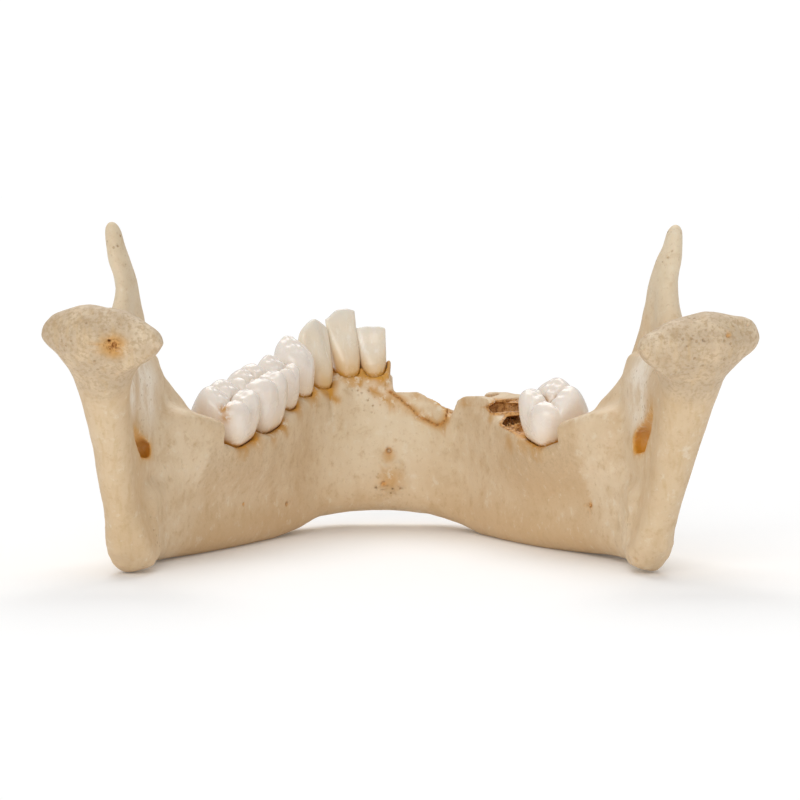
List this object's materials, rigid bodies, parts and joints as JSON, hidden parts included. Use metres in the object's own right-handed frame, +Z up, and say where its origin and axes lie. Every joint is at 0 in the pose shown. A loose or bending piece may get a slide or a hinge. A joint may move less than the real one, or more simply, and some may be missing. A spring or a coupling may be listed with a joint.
{
  "type": "human jawbone",
  "caption": "Lower jaw of a young adult with both condyles and coronoids, worn tooth sockets and the teeth that are left, lying as on a museum shelf.",
  "frame": {"origin": "centre of the bounding box at the table level that the jaw lies on", "axes": "+Z up from the table, +Y towards the chin, +X towards the jaw's right side"},
  "size_m": [0.1156, 0.1076, 0.0589],
  "materials": {
    "bone": "dry cream bone, matt to silky, rust-brown stains in the pits and along the tooth row",
    "enamel": "smooth glossy enamel, pinkish white, yellow-brown at the necks"
  },
  "bodies": {
    "root": {"jawbone": "bone", "left_central_incisor": "enamel", "left_lateral_incisor": "enamel", "left_canine": "enamel", "left_first_premolar": "enamel", "left_second_premolar": "enamel", "left_first_molar": "enamel", "left_second_molar": "enamel", "right_second_molar": "enamel"}
  },
  "joints": []
}
